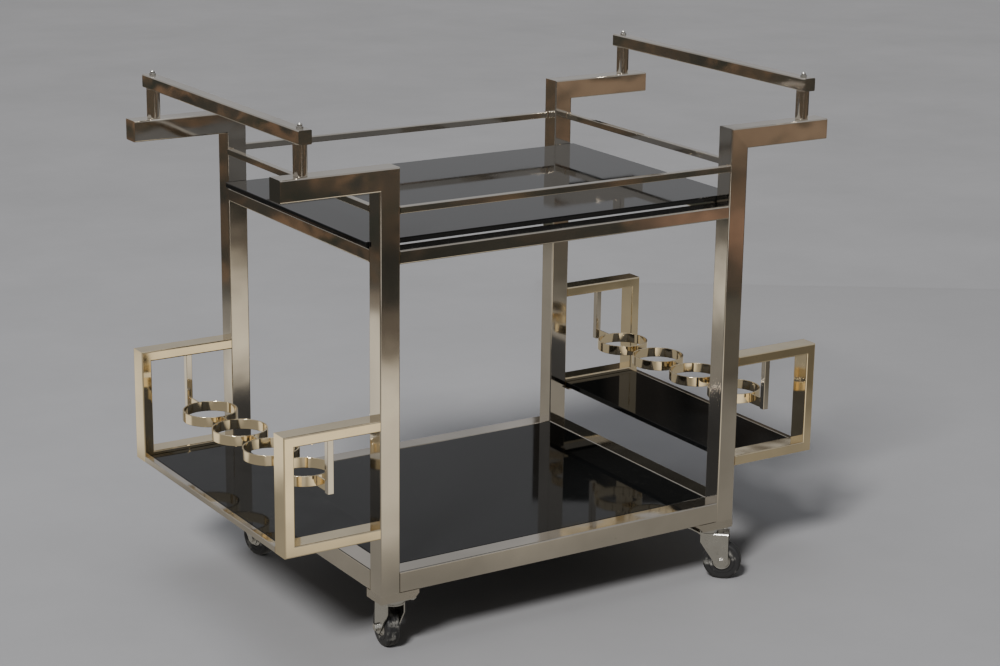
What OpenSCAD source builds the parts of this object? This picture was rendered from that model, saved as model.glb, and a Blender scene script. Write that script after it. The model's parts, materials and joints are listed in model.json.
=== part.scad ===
// Bar cart on wheels: a square-tube frame with glass shelves, end shelves with bottle rings,
// push handles at both ends and four swivel casters.
// X runs along the cart, Y across it and Z up; the origin is on the floor under its centre.

/* [Frame] */
// Length of the leg frame, over the legs
frame_l = 794; // [640:1:1000]
// Width of the cart, over the legs
frame_w = 636; // [600:1:800]
// Length of each leg
leg_h = 782; // [720:1:960]
// Side of the square frame tube
tube = 40; // [34:1:48]
// Wall of the frame tube
tube_wall = 2; // [1.5:0.1:3]
// Outer corner radius of the frame tube
tube_corner = 2.5; // [1:0.1:4]
// Reach of the top arms beyond the legs
arm_reach = 190; // [180:1:240]
// Height of the upper rails' section
upper_rail_h = 25; // [20:1:30]
// Height of the upper rails' tops above the legs' bottoms
upper_rail_top = 635; // [560:1:645]
// Height of the gallery rails' tops above the legs' bottoms
gallery_top = 712; // [690:1:725]
// Side of the thin square bars
bar = 12; // [8:1:14]

/* [Glass] */
// Thickness of the glass
glass_t = 10; // [6:1:12]
// Gap round the edges of the glass
glass_gap = 1; // [0.5:0.1:3]
// How far the top glass overhangs the end rails
glass_overhang = 6; // [2:1:10]
// How far the bottom glass lies below the rails' tops
glass_sink = 0.5; // [0:0.1:2]
// Thickness of the clear pads
pad_t = 2; // [1:0.5:3]
// Diameter of the clear pads
pad_d = 9; // [6:1:10]
// Width of the ledges under the glass, clear of the tubes
ledge_w = 12; // [11:1:20]
// Thickness of the ledges
ledge_t = 2.5; // [2:0.5:4]

/* [End loops] */
// Height of the loops' undersides above the legs' bottoms
loop_z = 110; // [90:1:140]
// Height of the loops
loop_h = 222; // [190:1:260]
// Thickness of the loop tube as seen from the side
loop_t = 20; // [16:1:25]

/* [Bottle rings] */
// Inside diameter of a ring
ring_id = 100; // [80:1:104]
// Thickness of the ring band
ring_band = 3; // [2:0.5:4]
// Height of the ring band
ring_h = 20; // [14:1:26]
// Number of rings at each end
ring_count = 4; // [2:1:4]
// Spacing of the rings
ring_pitch = 129; // [118:1:130]
// Distance of the ring row from the legs' outer faces
ring_reach = 88; // [70:1:100]
// Height of the rings' tops above the legs' bottoms
ring_top = 226; // [200:1:260]
// Distance of the ring posts' middles from the cart's sides
ring_post_in = 27; // [20:1:32]

/* [Handles] */
// Side of the handle bar
handle_side = 25; // [20:1:30]
// Distance of the handle bar's middle from the legs' outer faces
handle_reach = 142; // [120:1:155]
// Height of the handle posts
handle_post_h = 56; // [40:1:80]
// Diameter of the handle posts
handle_post_d = 25; // [18:1:30]
// Diameter of the studs in the posts
stud_d = 8; // [6:1:8]
// Clearance round a stud in its hole
stud_gap = 0.2; // [0.1:0.1:0.5]
// Height of a cap nut
cap_nut_h = 10; // [9:1:12]

/* [Casters] */
// Height from the floor to the mounting plate's top
caster_h = 105; // [100:1:125]
// Diameter of the wheel
wheel_d = 75; // [60:1:90]
// Width of the tyre
wheel_w = 25; // [20:1:25]
// Distance of the axle from the swivel axis
trail = 30; // [20:1:34]
// Thickness of the fork's sheet
fork_sheet = 2.5; // [2:0.5:3]
// Width of the fork inside its prongs
fork_inside = 31; // [30:0.5:34]
// Diameter of the kingpin
kingpin_d = 12; // [8:1:14]
// Diameter of the axle bolt
axle_d = 8; // [6:1:10]
// Radial running clearance of kingpins and axles
running_gap = 0.05; // [0.02:0.01:0.1]
// Gap between faces that turn past each other
turn_gap = 0.3; // [0.3:0.1:1]
// Length of a caster block
block_l = 80; // [76:1:100]
// Width of a caster block
block_w = 52; // [50:1:60]
// Thickness of a caster block
block_t = 16; // [12:1:25]
// Chamfer under the inner end of a caster block
block_chamfer = 9; // [4:1:10]
// Angle of the front left caster's trail from +X at rest
trail_front_left = 84; // [-180:1:180]
// Angle of the front right caster's trail from +X at rest
trail_front_right = -42; // [-180:1:180]
// Angle of the back left caster's trail from +X at rest
trail_back_left = -78; // [-180:1:180]
// Angle of the back right caster's trail from +X at rest
trail_back_right = 42; // [-180:1:180]

/* [Hidden] */
$fn = 64;
fine = 96;                                // facets of rings and tyres

eps = 1;                                  // how far a cut runs past what it cuts
nickel = "#a8a092";
dark_nickel = "#6f6a62";
black_glass = "#181a1d";
steel = "#c9c9c6";
rubber = "#1f1f20";
clear_pad = "#d8dcdc";

// Frame
leg_z = caster_h + block_t;               // the legs' bottoms above the floor
leg_top = leg_z + leg_h;
half_l = frame_l / 2;
half_w = frame_w / 2;
inner_l = frame_l - 2 * tube;             // between the legs, along the cart
inner_w = frame_w - 2 * tube;             // between the legs, across the cart
tip_plate = 2;                            // plate of an end cap, outside the tube
cap_gap = 0.2;                            // slack of the spigot in the tube and short of the stud
cap_depth = tube / 2 - tip_plate - stud_d / 2 - cap_gap;   // spigot of an end cap, inside the tube
bar_corner = 1;                           // corner radius of the thin square bars

// Glass
top_glass_z = leg_z + upper_rail_top + pad_t;
bottom_glass_z = leg_z + tube - glass_sink - glass_t;
end_glass_z = leg_z + loop_z + pad_t;
bottom_ledge_z = bottom_glass_z - pad_t - ledge_t;
pads_per_ledge = 3;
pad_edge = 0.5;                           // from the glass's edge to a pad
pad_from_end = 2 * pad_d;                 // from a ledge's end to the middle of its first pad

// Loops and rings
loop_low = leg_z + loop_z;
loop_high = loop_low + loop_h;
end_ledge_z = loop_low - ledge_t;
loop_end = half_l + arm_reach;
loop_wall = 1.5;
ring_or = ring_id / 2 + ring_band;
ring_low = leg_z + ring_top - ring_h;
ring_x = half_l + ring_reach;
ring_row = (ring_count - 1) * ring_pitch / 2;     // from the cart's middle to an outer ring

// Handles
handle_x = half_l + handle_reach;
handle_low = leg_top + handle_post_h;
handle_wall = 2;
stud_nut_h = 6.5;
stud_nut_af = 13;                         // across the flats
stud_into_cap = 6;
dome_step = 1;                            // flat left round a cap nut's dome

// Casters
plate_t = 2.5;
plate_l = 74;
plate_w = 47;
race_r = 21;
race_h = 5.5;
crown_r = 22;
crown_top = caster_h - plate_t - race_h - turn_gap;
fork_outside = fork_inside + 2 * fork_sheet;
fork_front = -13;                         // front of the crown, along the trail
fork_behind = 12;
fork_back = trail + fork_behind;          // back of the crown, over the wheel
fork_front_drop = 20;                     // straight part of the prongs' front edge
fork_end_r = 13;
fork_bend = 4.5;                          // outer radius of the bends
kingpin_head_lip = 3;
kingpin_head_r = kingpin_d / 2 + kingpin_head_lip;
kingpin_head_h = 3;
kingpin_head_z = crown_top - fork_sheet - turn_gap - kingpin_head_h;
wheel_r = wheel_d / 2;
core_r = 18;
core_inset = 1.5;
core_w = wheel_w - 2 * core_inset;
hub_r = 9.5;
tyre_round = 5;
bolt_af = 13;
bolt_head_h = 5.5;
bolt_nut_h = 6.5;
screw_d = 5;
screw_head_d = 9.5;
screw_head_h = 2.5;
screw_l = 12;
screw_dx = 30;
screw_dy = 17;
screw_gap = 0.25;
caster_x = half_l - block_l / 2;
caster_y = half_w - block_w / 2;

// The lower front corner of a prong, where the slanting edge meets the round end.
slant_top = [fork_front, crown_top - fork_front_drop];
axle_at = [trail, wheel_r];
slant = axle_at - slant_top;
slant_turn = atan2(slant[1], slant[0]) - asin(fork_end_r / norm(slant));
slant_run = sqrt(norm(slant) * norm(slant) - fork_end_r * fork_end_r);
slant_end = slant_top + slant_run * [cos(slant_turn), sin(slant_turn)];

// ---- helpers ----

module flip_x(side) {
    if (side < 0) mirror([1, 0, 0]) children();
    else children();
}

module flip_y(side) {
    if (side < 0) mirror([0, 1, 0]) children();
    else children();
}

// Children drawn for the back right corner, moved to the corner on the given sides.
module corner(side_x, side_y) {
    flip_x(side_x) flip_y(side_y) children();
}

module every_corner() {
    for (side_x = [-1, 1])
        for (side_y = [-1, 1])
            corner(side_x, side_y) children();
}

module rounded_rect(w, h, r) {
    square([w - 2 * r, h], center = true);
    square([w, h - 2 * r], center = true);
    for (x = [-1, 1])
        for (y = [-1, 1])
            translate([x * (w / 2 - r), y * (h / 2 - r)])
                circle(r);
}

module tube_section(w, h, r, wall) {
    difference() {
        rounded_rect(w, h, r);
        square([w - 2 * wall, h - 2 * wall], center = true);
    }
}

// Extrude a section along X (its x is Y, its y is Z), along Y (its x is X), or cut along Y.
module along_x(length) {
    rotate([90, 0, 90])
        linear_extrude(length)
            children();
}

module along_y(length) {
    rotate([90, 0, 0])
        linear_extrude(length, center = true)
            children();
}

module round_bar(w, h, r, length) {
    linear_extrude(length)
        rounded_rect(w, h, r);
}

// ---- frame ----

// The triangle above the mitre line between a leg and its arm.
module mitre_above() {
    translate([0, half_w - tube / 2, 0])
        along_y(tube + 2 * eps)
            polygon([
                [half_l + eps, leg_top - tube - eps],
                [half_l + eps, leg_top + eps],
                [half_l - tube - eps, leg_top + eps]
            ]);
}

// The triangle below the same line.
module mitre_below() {
    translate([0, half_w - tube / 2, 0])
        along_y(tube + 2 * eps)
            polygon([
                [half_l + eps, leg_top - tube - eps],
                [half_l - tube - eps, leg_top + eps],
                [half_l - tube - eps, leg_top - tube - eps]
            ]);
}

module leg() {
    color(nickel)
        difference() {
            translate([half_l - tube / 2, half_w - tube / 2, leg_z])
                linear_extrude(leg_h)
                    tube_section(tube, tube, tube_corner, tube_wall);
            mitre_above();
        }
}

module arm() {
    color(dark_nickel)
        difference() {
            translate([half_l - tube, half_w - tube / 2, leg_top - tube / 2])
                along_x(tube + arm_reach - tip_plate)
                    tube_section(tube, tube, tube_corner, tube_wall);
            mitre_below();
            translate([handle_x, half_w - tube / 2, leg_top - tube_wall - eps])
                cylinder(h = tube_wall + 2 * eps, r = stud_d / 2 + stud_gap);
        }
}

module long_rail(h, top) {
    color(nickel)
        translate([-inner_l / 2, half_w - tube / 2, leg_z + top - h / 2])
            along_x(inner_l)
                tube_section(tube, h, tube_corner, tube_wall);
}

module cross_rail(h, top) {
    color(nickel)
        translate([half_l - tube / 2, 0, leg_z + top - h / 2])
            along_y(inner_w)
                tube_section(tube, h, tube_corner, tube_wall);
}

module long_gallery_rail() {
    color(nickel)
        translate([-inner_l / 2, half_w - bar / 2, leg_z + gallery_top - bar / 2])
            along_x(inner_l)
                rounded_rect(bar, bar, bar_corner);
}

module cross_gallery_rail() {
    color(nickel)
        translate([half_l - bar / 2, 0, leg_z + gallery_top - bar / 2])
            along_y(inner_w)
                rounded_rect(bar, bar, bar_corner);
}

module end_cap(side, wall) {
    rotate([90, 0, 90])
        linear_extrude(tip_plate)
            rounded_rect(side, side, tube_corner);
    translate([-cap_depth, 0, 0])
        rotate([90, 0, 90])
            linear_extrude(cap_depth)
                square(side - 2 * wall - 2 * cap_gap, center = true);
}

module tube_end_caps() {
    color(dark_nickel)
        every_corner() {
            translate([loop_end - tip_plate, half_w - tube / 2, leg_top - tube / 2])
                end_cap(tube, tube_wall);
            translate([handle_x, half_w - tip_plate, handle_low + handle_side / 2])
                rotate([0, 0, 90])
                    end_cap(handle_side, handle_wall);
        }
}

// ---- glass ----

module sheet(l, w, z) {
    color(black_glass)
        translate([-l / 2, -w / 2, z])
            cube([l, w, glass_t]);
}

module top_glass() {
    sheet(frame_l + 2 * glass_overhang, inner_w - 2 * glass_gap, top_glass_z);
}

module bottom_glass() {
    sheet(inner_l - 2 * glass_gap, inner_w - 2 * glass_gap, bottom_glass_z);
}

module end_glass() {
    end_l = arm_reach - bar - glass_gap;
    translate([half_l + end_l / 2, 0, 0])
        sheet(end_l, inner_w - 2 * glass_gap, end_glass_z);
}

module glass_ledges() {
    color(nickel) {
        for (side = [-1, 1])
            flip_y(side)
                translate([-inner_l / 2, inner_w / 2 - ledge_w, bottom_ledge_z])
                    cube([inner_l, ledge_w, ledge_t]);
        every_corner()
            translate([half_l, inner_w / 2 - ledge_w, end_ledge_z])
                cube([arm_reach - bar, ledge_w + tube / 2, ledge_t]);
    }
}

module pad(z) {
    translate([0, 0, z])
        cylinder(h = pad_t, d = pad_d);
}

module glass_pads() {
    pad_in = glass_gap + pad_d / 2 + pad_edge;
    step_x = (inner_l - 2 * pad_from_end) / (pads_per_ledge - 1);
    step_y = (inner_w - 2 * pad_from_end) / (pads_per_ledge - 1);
    step_end = (arm_reach - bar - 2 * pad_from_end) / (pads_per_ledge - 1);
    middle = (pads_per_ledge - 1) / 2;
    color(clear_pad)
        for (i = [0 : pads_per_ledge - 1]) {
            for (side = [-1, 1]) {
                translate([(i - middle) * step_x, side * (inner_w / 2 - pad_in), 0])
                    pad(bottom_ledge_z + ledge_t);
                translate([side * (half_l - tube / 2), (i - middle) * step_y, 0])
                    pad(leg_z + upper_rail_top);
            }
            every_corner()
                translate([half_l + pad_from_end + i * step_end, inner_w / 2 - pad_in, 0])
                    pad(loop_low);
        }
}

// ---- end loops and bottle rings ----

module loop_corner_cut(z, up) {
    // What lies outside the 45 degree line through a loop's outer corner, on the bar's side.
    translate([0, half_w - tube / 2, z])
        along_y(tube + 2 * eps)
            polygon([
                [loop_end + eps, up * eps],
                [loop_end - loop_t - eps, -up * (loop_t + eps)],
                [loop_end + eps, -up * (loop_t + eps)]
            ]);
}

module loop_upright_cut(z, up) {
    translate([0, half_w - tube / 2, z])
        along_y(tube + 2 * eps)
            polygon([
                [loop_end + eps, up * eps],
                [loop_end - loop_t - eps, -up * (loop_t + eps)],
                [loop_end - loop_t - eps, up * eps]
            ]);
}

module loop_level(z, up) {
    difference() {
        translate([half_l, half_w - tube / 2, z - up * loop_t / 2])
            along_x(arm_reach)
                tube_section(tube, loop_t, tube_corner, loop_wall);
        loop_corner_cut(z, up);
    }
}

module loop() {
    color(nickel)
        union() {
            loop_level(loop_high, 1);
            loop_level(loop_low, -1);
            difference() {
                translate([loop_end - loop_t / 2, half_w - tube / 2, loop_low])
                    linear_extrude(loop_h)
                        tube_section(loop_t, tube, tube_corner, loop_wall);
                loop_upright_cut(loop_high, 1);
                loop_upright_cut(loop_low, -1);
            }
        }
}

module end_rods() {
    color(nickel)
        for (side = [-1, 1])
            flip_x(side)
                translate([loop_end - bar / 2, 0, loop_low + bar / 2])
                    along_y(inner_w)
                        rounded_rect(bar, bar, bar_corner);
}

module bottle_rings() {
    color(nickel)
        for (i = [0 : ring_count - 1])
            translate([ring_x, i * ring_pitch - ring_row, ring_low])
                difference() {
                    cylinder(h = ring_h, r = ring_or, $fn = fine);
                    translate([0, 0, -eps])
                        cylinder(h = ring_h + 2 * eps, d = ring_id, $fn = fine);
                }
}

module ring_strips() {
    between = ring_pitch - 2 * ring_or;
    post_face = half_w - ring_post_in - bar / 2;
    outer_edge = ring_row + ring_or;
    color(nickel)
        for (side = [-1, 1])
            flip_x(side) {
                for (i = [0 : ring_count - 2])
                    translate([
                        ring_x - ring_band / 2,
                        i * ring_pitch - ring_row + ring_or,
                        ring_low
                    ])
                        cube([ring_band, between, ring_h]);
                for (end = [-1, 1])
                    flip_y(end)
                        translate([ring_x - ring_band / 2, outer_edge, ring_low])
                            cube([ring_band, post_face - outer_edge, ring_h]);
            }
}

module ring_posts() {
    color(nickel)
        every_corner()
            translate([ring_x, half_w - ring_post_in, ring_low])
                round_bar(bar, bar, bar_corner, loop_high - loop_t - ring_low);
}

// ---- handles ----

module handle_bar() {
    color(dark_nickel)
        difference() {
            translate([handle_x, 0, handle_low + handle_side / 2])
                along_y(frame_w - 2 * tip_plate)
                    tube_section(handle_side, handle_side, tube_corner, handle_wall);
            for (side = [-1, 1])
                translate([handle_x, side * (half_w - tube / 2), handle_low - eps])
                    cylinder(h = handle_side + 2 * eps, r = stud_d / 2 + stud_gap);
        }
}

module handle_posts() {
    color(nickel)
        every_corner()
            translate([handle_x, half_w - tube / 2, leg_top])
                difference() {
                    cylinder(h = handle_post_h, d = handle_post_d);
                    translate([0, 0, -eps])
                        cylinder(h = handle_post_h + 2 * eps, r = stud_d / 2 + stud_gap);
                }
}

module hexagon(af, h) {
    cylinder(h = h, d = af / cos(30), $fn = 6);
}

module handle_studs() {
    nut_z = leg_top - tube_wall - stud_nut_h;
    stud_top = handle_low + handle_side + stud_into_cap;
    color(steel)
        every_corner()
            translate([handle_x, half_w - tube / 2, nut_z]) {
                hexagon(stud_nut_af, stud_nut_h);
                cylinder(h = stud_top - nut_z, d = stud_d);
            }
}

module cap_nuts() {
    base_h = cap_nut_h / 2;
    dome_r = stud_nut_af / 2 - dome_step;
    color(steel)
        every_corner()
            translate([handle_x, half_w - tube / 2, handle_low + handle_side])
                difference() {
                    union() {
                        hexagon(stud_nut_af, base_h);
                        translate([0, 0, cap_nut_h - dome_r])
                            sphere(dome_r);
                    }
                    translate([0, 0, -eps])
                        cylinder(h = stud_into_cap + stud_gap + eps, r = stud_d / 2 + running_gap);
                }
}

// ---- casters ----

module screw_places() {
    for (x = [-1, 1])
        for (y = [-1, 1])
            translate([x * screw_dx, y * screw_dy, 0])
                children();
}

module caster_blocks() {
    color(nickel)
        every_corner()
            translate([caster_x, caster_y, caster_h])
                difference() {
                    along_y(block_w)
                        polygon([
                            [block_l / 2, 0],
                            [block_l / 2, block_t],
                            [-block_l / 2, block_t],
                            [-block_l / 2, block_chamfer],
                            [-block_l / 2 + block_chamfer, 0]
                        ]);
                    screw_places()
                        translate([0, 0, -eps])
                            cylinder(h = screw_l - plate_t + eps, d = screw_d);
                }
}

// Mounting plate, fixed race and kingpin, riveted into one piece.
module caster_plates() {
    color(steel)
        every_corner()
            translate([caster_x, caster_y, caster_h - plate_t])
                difference() {
                    union() {
                        linear_extrude(plate_t)
                            rounded_rect(plate_l, plate_w, screw_head_d / 2);
                        translate([0, 0, -race_h])
                            cylinder(h = race_h, r = race_r);
                        translate([0, 0, kingpin_head_z - caster_h + plate_t])
                            cylinder(h = caster_h - plate_t - kingpin_head_z, d = kingpin_d);
                        translate([0, 0, kingpin_head_z - caster_h + plate_t])
                            cylinder(h = kingpin_head_h, r = kingpin_head_r);
                    }
                    screw_places()
                        translate([0, 0, -eps])
                            cylinder(h = plate_t + 2 * eps, r = screw_d / 2 + screw_gap);
                }
}

module caster_screws() {
    color(steel)
        every_corner()
            translate([caster_x, caster_y, caster_h - plate_t])
                screw_places() {
                    cylinder(h = screw_l, d = screw_d);
                    translate([0, 0, -screw_head_h])
                        cylinder(h = screw_head_h, d = screw_head_d);
                }
}

// Children in a caster's own frame: swivel axis on Z, trail along +X, axle along Y.
module caster(side_x, side_y, angle) {
    translate([side_x * caster_x, side_y * caster_y, 0])
        rotate([0, 0, angle])
            children();
}

module fork_side() {
    polygon([
        [fork_front, crown_top],
        slant_top,
        slant_end,
        axle_at,
        [trail + fork_end_r, wheel_r],
        [fork_back, crown_top]
    ]);
    translate(axle_at)
        circle(fork_end_r);
}

// The fork's section across the trail: two prongs and a crown with rounded bends.
module fork_section() {
    difference() {
        union() {
            translate([-fork_outside / 2, 0])
                square([fork_outside, crown_top - fork_bend]);
            translate([-fork_outside / 2 + fork_bend, 0])
                square([fork_outside - 2 * fork_bend, crown_top]);
            for (side = [-1, 1])
                translate([side * (fork_outside / 2 - fork_bend), crown_top - fork_bend])
                    circle(fork_bend);
        }
        translate([-fork_inside / 2, -eps])
            square([fork_inside, crown_top - fork_bend + eps]);
        translate([-fork_inside / 2 + fork_bend - fork_sheet, -eps])
            square([fork_inside - 2 * (fork_bend - fork_sheet), crown_top - fork_sheet + eps]);
        for (side = [-1, 1])
            translate([side * (fork_outside / 2 - fork_bend), crown_top - fork_bend])
                circle(fork_bend - fork_sheet);
    }
}

module fork() {
    color(steel)
        difference() {
            union() {
                intersection() {
                    along_y(fork_outside + 2 * eps)
                        fork_side();
                    translate([fork_front - eps, 0, 0])
                        along_x(fork_back - fork_front + fork_end_r + 2 * eps)
                            fork_section();
                }
                translate([0, 0, crown_top - fork_sheet])
                    cylinder(h = fork_sheet, r = crown_r);
            }
            translate([0, 0, crown_top - fork_sheet - eps])
                cylinder(h = fork_sheet + 2 * eps, r = kingpin_d / 2 + running_gap);
            translate([trail, 0, wheel_r])
                rotate([90, 0, 0])
                    cylinder(h = fork_outside + 2 * eps, r = axle_d / 2 + running_gap, center = true);
        }
}

// The axle bolt with its head, and the nut on its other end.
module axle() {
    color(steel)
        translate([trail, 0, wheel_r])
            rotate([90, 0, 0]) {
                translate([0, 0, -fork_outside / 2 - bolt_nut_h])
                    cylinder(h = fork_outside + bolt_nut_h, d = axle_d);
                translate([0, 0, fork_outside / 2])
                    hexagon(bolt_af, bolt_head_h);
                translate([0, 0, -fork_outside / 2 - bolt_nut_h])
                    difference() {
                        hexagon(bolt_af, bolt_nut_h);
                        translate([0, 0, -eps])
                            cylinder(h = bolt_nut_h + 2 * eps, d = axle_d);
                    }
            }
}

module wheel_core() {
    color(steel)
        translate([trail, 0, wheel_r])
            rotate([90, 0, 0])
                difference() {
                    union() {
                        cylinder(h = core_w, r = core_r, center = true);
                        cylinder(h = fork_inside - 2 * turn_gap, r = hub_r, center = true);
                    }
                    cylinder(h = fork_inside, r = axle_d / 2 + running_gap, center = true);
                }
}

module tyre() {
    color(rubber)
        translate([trail, 0, wheel_r])
            rotate([90, 0, 0])
                rotate_extrude($fn = fine)
                    intersection() {
                        translate([core_r, -wheel_w / 2])
                            square([wheel_r - core_r, wheel_w]);
                        rounded_rect(wheel_d, wheel_w, tyre_round);
                    }
}

corner(-1, -1) leg();  // leg_front_left
corner(1, -1) leg();  // leg_front_right
corner(-1, 1) leg();  // leg_back_left
corner(1, 1) leg();  // leg_back_right
corner(-1, -1) arm();  // arm_front_left
corner(1, -1) arm();  // arm_front_right
corner(-1, 1) arm();  // arm_back_left
corner(1, 1) arm();  // arm_back_right
flip_y(-1) long_rail(upper_rail_h, upper_rail_top);  // upper_rail_front
flip_y(1) long_rail(upper_rail_h, upper_rail_top);  // upper_rail_back
flip_x(-1) cross_rail(upper_rail_h, upper_rail_top);  // upper_rail_left
flip_x(1) cross_rail(upper_rail_h, upper_rail_top);  // upper_rail_right
flip_y(-1) long_rail(tube, tube);  // lower_rail_front
flip_y(1) long_rail(tube, tube);  // lower_rail_back
flip_x(-1) cross_rail(tube, tube);  // lower_rail_left
flip_x(1) cross_rail(tube, tube);  // lower_rail_right
flip_y(-1) long_gallery_rail();  // gallery_rail_front
flip_y(1) long_gallery_rail();  // gallery_rail_back
flip_x(-1) cross_gallery_rail();  // gallery_rail_left
flip_x(1) cross_gallery_rail();  // gallery_rail_right
top_glass();
bottom_glass();
flip_x(-1) end_glass();  // end_glass_left
flip_x(1) end_glass();  // end_glass_right
corner(-1, -1) loop();  // loop_front_left
corner(1, -1) loop();  // loop_front_right
corner(-1, 1) loop();  // loop_back_left
corner(1, 1) loop();  // loop_back_right
end_rods();
flip_x(-1) bottle_rings();  // bottle_rings_left
flip_x(1) bottle_rings();  // bottle_rings_right
ring_strips();
ring_posts();
flip_x(-1) handle_bar();  // handle_bar_left
flip_x(1) handle_bar();  // handle_bar_right
handle_posts();
handle_studs();
cap_nuts();
tube_end_caps();
glass_ledges();
glass_pads();
caster_blocks();
caster_plates();
caster_screws();
caster(-1, -1, trail_front_left) fork();  // fork_front_left
caster(1, -1, trail_front_right) fork();  // fork_front_right
caster(-1, 1, trail_back_left) fork();  // fork_back_left
caster(1, 1, trail_back_right) fork();  // fork_back_right
caster(-1, -1, trail_front_left) axle();  // axle_front_left
caster(1, -1, trail_front_right) axle();  // axle_front_right
caster(-1, 1, trail_back_left) axle();  // axle_back_left
caster(1, 1, trail_back_right) axle();  // axle_back_right
caster(-1, -1, trail_front_left) wheel_core();  // wheel_core_front_left
caster(1, -1, trail_front_right) wheel_core();  // wheel_core_front_right
caster(-1, 1, trail_back_left) wheel_core();  // wheel_core_back_left
caster(1, 1, trail_back_right) wheel_core();  // wheel_core_back_right
caster(-1, -1, trail_front_left) tyre();  // tyre_front_left
caster(1, -1, trail_front_right) tyre();  // tyre_front_right
caster(-1, 1, trail_back_left) tyre();  // tyre_back_left
caster(1, 1, trail_back_right) tyre();  // tyre_back_right
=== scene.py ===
"""Bar cart on wheels, dressed for a plain studio.

Finishes for the tubes, and turned and pressed small parts, glass shelves and casters
over the CAD frame.
"""

import json
import math

import bpy
from bpy.props import FloatProperty, FloatVectorProperty, IntProperty, PointerProperty
from mathutils import Matrix, Vector


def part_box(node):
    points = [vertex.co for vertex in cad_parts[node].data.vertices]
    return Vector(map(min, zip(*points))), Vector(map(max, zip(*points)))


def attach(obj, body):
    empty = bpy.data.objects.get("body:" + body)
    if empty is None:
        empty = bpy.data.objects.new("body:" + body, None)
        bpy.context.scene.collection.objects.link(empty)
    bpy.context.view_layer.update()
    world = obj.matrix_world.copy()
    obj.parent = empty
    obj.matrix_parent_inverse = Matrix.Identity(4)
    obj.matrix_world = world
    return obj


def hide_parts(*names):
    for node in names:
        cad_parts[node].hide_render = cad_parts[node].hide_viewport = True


bl_info = {
    "name": "Bar cart on wheels",
    "version": (1, 0, 0),
    "blender": (4, 5, 0),
    "location": "3D View > Sidebar > Bar cart",
    "description": "Dresses the bar cart's frame and sets it in a plain studio",
    "category": "Object",
}

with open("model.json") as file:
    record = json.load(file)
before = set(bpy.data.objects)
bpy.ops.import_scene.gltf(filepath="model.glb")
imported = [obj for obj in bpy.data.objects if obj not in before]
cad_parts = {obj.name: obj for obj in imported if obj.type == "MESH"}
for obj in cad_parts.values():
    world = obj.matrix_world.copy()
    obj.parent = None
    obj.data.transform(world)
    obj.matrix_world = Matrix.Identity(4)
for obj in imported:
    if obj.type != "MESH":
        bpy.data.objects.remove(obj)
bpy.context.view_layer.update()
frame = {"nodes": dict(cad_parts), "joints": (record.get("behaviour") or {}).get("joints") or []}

CORNERS = ("front_left", "front_right", "back_left", "back_right")
ENDS = ("left", "right")
SIDES = ("front", "back", "left", "right")
MM = 0.001
MERGE_DISTANCE = 0.001 * MM      # vertices closer than this are one
RING_BAND = 3 * MM
ROUND_OFF = 0.8 * MM             # rounding of the ring band
STRIP_ROUND = 0.6 * MM
BLOCK_ROUND = 0.8 * MM
PAD_ROUND = 0.5 * MM
POST_LIP = 0.7 * MM
ARC = 0.3                        # share of a rounding where its middle point lies
RAIL_PROUD, POST_PROUD, STRIP_PROUD = 0.4, 0.35, 0.5   # weld past the bar, in weld widths
TYRE_SHOULDER = 5 * MM
SHOULDER_STEPS = 6
TYRE_FOOT, FOOT_CHAMFER = 1.5 * MM, 2 * MM             # where the tyre grips the rim
SIDE_GROOVE = (6.5 * MM, 7 * MM, 8 * MM, 8.5 * MM)     # groove in the tyre's side, from the rim out
TREAD_GROOVE = (0.46, 0.42, 0.36, 0.32)                # groove beside the tread, in half widths
DISC_HALF = 11 * MM              # half the hub disc's width
HUB_RADIUS = 9.5 * MM
HUB_BORE = 4.05 * MM
FLOOR_RADIUS, SHEET_RADIUS, SHEET_DROP = 40, 30, 1 * MM
DARK_REFLECTION_SIZE, DARK_REFLECTION_AT, DARK_REFLECTION_TURN = (4.0, 0.02, 1.0), (1.31, 1.79, 0), math.radians(-33.4)
KEY_FROM, KEY_SPREAD = (-0.70, -0.50, 0.80), 13
BOX_AT, BOX_SIZE, BOX_AIM = (-0.6, 0.4, 4.5), (3.0, 3.0), (0, 0, 0.5)


# ---------------------------------------------------------------- sizes and colours

def length(name, default, description):
    return FloatProperty(name=name, description=description, default=default, min=0.0,
                         subtype="DISTANCE", unit="LENGTH", precision=4)


def colour(name, default, description):
    return FloatVectorProperty(name=name, description=description, default=default, size=3,
                               min=0.0, max=1.0, subtype="COLOR")


class CartSizes(bpy.types.PropertyGroup):
    edge: length("Edge round", 0.5 * MM, "Rounding of pressed and cut steel edges")
    glass_edge: length("Glass edge", 1.0 * MM, "Ground chamfer round the glass")
    tread_groove: length("Tread groove", 0.8 * MM, "Depth of the grooves beside the tread")
    hub_dish: length("Hub dish", 1.6 * MM, "Depth of the dish in the hub disc")
    weld_leg: length("Weld leg", 1.8 * MM, "Width of a ground weld bead")
    segments: IntProperty(name="Segments", description="Segments round a turned piece",
                          default=72, min=24, max=128)


class CartColours(bpy.types.PropertyGroup):
    nickel: colour("Nickel", (0.69, 0.64, 0.56), "Polished nickel plate")
    warm_nickel: colour("Warm nickel", (0.92, 0.785, 0.54), "Nickel of the loops and rings")
    steel: colour("Steel", (0.62, 0.61, 0.58), "Bright plated caster steel")
    glass: colour("Black glass", (0.006, 0.0065, 0.007), "Body of the black glass")
    rubber: colour("Rubber", (0.018, 0.018, 0.019), "Tyre rubber")
    scuff: colour("Scuff", (0.34, 0.33, 0.30), "Dust and scuffs on the tyres")
    floor: colour("Floor", (0.39, 0.393, 0.41), "Painted studio floor")


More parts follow.
